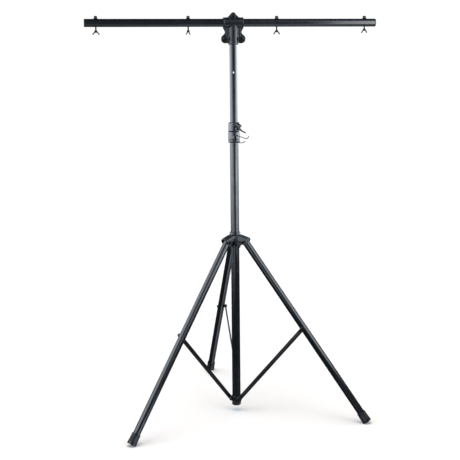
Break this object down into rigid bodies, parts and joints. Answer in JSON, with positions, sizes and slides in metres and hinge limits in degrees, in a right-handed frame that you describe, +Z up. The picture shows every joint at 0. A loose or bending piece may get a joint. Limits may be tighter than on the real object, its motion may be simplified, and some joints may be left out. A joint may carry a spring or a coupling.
{
  "type": "lighting t-bar stand",
  "caption": "Folding tripod stand with a telescopic mast and a straight bar clamped across its top, which carries lamps on hanging bolts with wing nuts.",
  "frame": {"origin": "centre of the flat underside of the column's end cap, on the column axis; the floor is 24 mm below it", "axes": "+Z up along the column and mast, +X along the lamp bar to the right as seen from the camera, +Y away from the camera"},
  "size_m": [1.194, 0.9249, 1.6894],
  "materials": {
    "tube_coat": "satin black powder coat on steel tube",
    "cast_coat": "satin black coat on cast clamp pieces",
    "moulded_black": "moulded black plastic",
    "foot_rubber": "dull black rubber",
    "fastener_black": "blackened steel"
  },
  "bodies": {
    "stand_column": {"column_tube": "tube_coat", "column_end_cap": "moulded_black", "strut_bracket": "tube_coat", "clamp_collar": "cast_coat", "clamp_bolt": "fastener_black", "clamp_nut": "fastener_black", "strut_base_bolt_rear": "fastener_black", "strut_base_bolt_left": "fastener_black", "strut_base_bolt_right": "fastener_black"},
    "strut_rear_arm": {"strut_rear": "tube_coat"},
    "leg_rear": {"leg_tube_rear": "tube_coat", "leg_foot_rear": "foot_rubber", "strut_leg_bolt_rear": "fastener_black", "strut_spacer_rear": "moulded_black"},
    "strut_left_arm": {"strut_left": "tube_coat"},
    "leg_left": {"leg_tube_left": "tube_coat", "leg_foot_left": "foot_rubber", "strut_leg_bolt_left": "fastener_black", "strut_spacer_left": "moulded_black"},
    "strut_right_arm": {"strut_right": "tube_coat"},
    "leg_right": {"leg_tube_right": "tube_coat", "leg_foot_right": "foot_rubber", "strut_leg_bolt_right": "fastener_black", "strut_spacer_right": "moulded_black"},
    "hub": {"hub_spider": "tube_coat", "hub_ferrule": "tube_coat", "leg_pivot_bolt_rear": "fastener_black", "leg_pivot_bolt_left": "fastener_black", "leg_pivot_bolt_right": "fastener_black"},
    "hub_knob": {"hub_lock_knob": "moulded_black"},
    "mast_foot": {"mast_slider": "moulded_black"},
    "mast": {"mast_tube": "tube_coat", "t_clamp_front": "cast_coat", "t_clamp_rear": "cast_coat", "t_clamp_bolt_top": "fastener_black", "t_clamp_nut_top": "fastener_black", "t_clamp_bolt_right": "fastener_black", "t_clamp_nut_right": "fastener_black", "t_clamp_bolt_left": "fastener_black", "t_clamp_nut_left": "fastener_black", "lamp_bar": "tube_coat", "bar_cap_left": "moulded_black", "bar_cap_right": "moulded_black", "lamp_bolt_1": "fastener_black", "lamp_washer_1": "fastener_black", "lamp_bolt_2": "fastener_black", "lamp_washer_2": "fastener_black", "lamp_bolt_3": "fastener_black", "lamp_washer_3": "fastener_black", "lamp_bolt_4": "fastener_black", "lamp_washer_4": "fastener_black"},
    "clamp_handle": {"clamp_lever": "moulded_black"},
    "lock_pin": {"locking_pin": "fastener_black"},
    "pin_clip": {"pin_clip_wire": "fastener_black"},
    "wing_nut_1": {"lamp_wing_nut_1": "fastener_black"},
    "wing_nut_2": {"lamp_wing_nut_2": "fastener_black"},
    "wing_nut_3": {"lamp_wing_nut_3": "fastener_black"},
    "wing_nut_4": {"lamp_wing_nut_4": "fastener_black"}
  },
  "joints": [
    {"name": "tripod_fold", "type": "hinge", "parent": "stand_column", "child": "strut_rear_arm", "pos_m": [-0.00139, 0.01594, 0.0304], "axis": [0.9962, 0.0872, 0], "range_deg": [0, 34.8]},
    {"name": "strut_rear_to_leg", "type": "hinge", "parent": "strut_rear_arm", "child": "leg_rear", "pos_m": [-0.02588, 0.29579, 0.36758], "axis": [-0.9962, -0.0872, 0], "range_deg": [0, 68.72]},
    {"name": "strut_left_base", "type": "hinge", "parent": "stand_column", "child": "strut_left_arm", "pos_m": [-0.01311, -0.00918, 0.0304], "axis": [-0.5736, 0.8192, 0], "range_deg": [0, 34.8]},
    {"name": "strut_left_to_leg", "type": "hinge", "parent": "strut_left_arm", "child": "leg_left", "pos_m": [-0.24322, -0.1703, 0.36758], "axis": [0.5736, -0.8192, 0], "range_deg": [0, 68.72]},
    {"name": "strut_right_base", "type": "hinge", "parent": "stand_column", "child": "strut_right_arm", "pos_m": [0.0145, -0.00676, 0.0304], "axis": [-0.4226, -0.9063, 0], "range_deg": [0, 34.8]},
    {"name": "strut_right_to_leg", "type": "hinge", "parent": "strut_right_arm", "child": "leg_right", "pos_m": [0.2691, -0.12548, 0.36758], "axis": [0.4226, 0.9063, 0], "range_deg": [0, 68.72]},
    {"name": "leg_rear_to_hub", "type": "hinge", "parent": "leg_rear", "child": "hub", "pos_m": [-0.00392, 0.04483, 0.7243], "axis": [0.9962, 0.0872, 0], "range_deg": [0, 33.92]},
    {"name": "hub_knob_turn", "type": "hinge", "parent": "hub", "child": "hub_knob", "pos_m": [0.0081, -0.03508, 0.716], "axis": [0.225, -0.9744, 0], "continuous": true},
    {"name": "mast_height", "type": "slide", "parent": "stand_column", "child": "mast_foot", "axis": [0, 0, 1], "range_m": [-0.283, 0.68]},
    {"name": "mast_swivel", "type": "hinge", "parent": "mast_foot", "child": "mast", "pos_m": [0, 0, 0.322], "axis": [0, 0, 1], "continuous": true},
    {"name": "clamp_lever_swing", "type": "hinge", "parent": "stand_column", "child": "clamp_handle", "pos_m": [0.01577, -0.02253, 1.208], "axis": [-0.8192, -0.5736, 0], "range_deg": [0, 75]},
    {"name": "lock_pin_pull", "type": "slide", "parent": "stand_column", "child": "lock_pin", "axis": [0, -1, 0], "range_m": [0, 0.03]},
    {"name": "pin_clip_turn", "type": "hinge", "parent": "lock_pin", "child": "pin_clip", "pos_m": [0, -0.039, 1.159], "axis": [0, 0, 1], "range_deg": [-165, 5]},
    {"name": "wing_nut_1_turn", "type": "hinge", "parent": "mast", "child": "wing_nut_1", "pos_m": [-0.5522, 0, 1.589], "axis": [0, 0, 1], "continuous": true},
    {"name": "wing_nut_2_turn", "type": "hinge", "parent": "mast", "child": "wing_nut_2", "pos_m": [-0.1832, 0, 1.589], "axis": [0, 0, 1], "continuous": true},
    {"name": "wing_nut_3_turn", "type": "hinge", "parent": "mast", "child": "wing_nut_3", "pos_m": [0.1798, 0, 1.589], "axis": [0, 0, 1], "continuous": true},
    {"name": "wing_nut_4_turn", "type": "hinge", "parent": "mast", "child": "wing_nut_4", "pos_m": [0.5488, 0, 1.594], "axis": [0, 0, 1], "continuous": true}
  ],
  "couplings": [
    {"joint": "strut_rear_to_leg", "follows": "tripod_fold", "ratio": 1.9732},
    {"joint": "strut_left_base", "follows": "tripod_fold", "ratio": 1},
    {"joint": "strut_left_to_leg", "follows": "tripod_fold", "ratio": 1.9732},
    {"joint": "strut_right_base", "follows": "tripod_fold", "ratio": 1},
    {"joint": "strut_right_to_leg", "follows": "tripod_fold", "ratio": 1.9732},
    {"joint": "leg_rear_to_hub", "follows": "tripod_fold", "ratio": 0.9732}
  ]
}
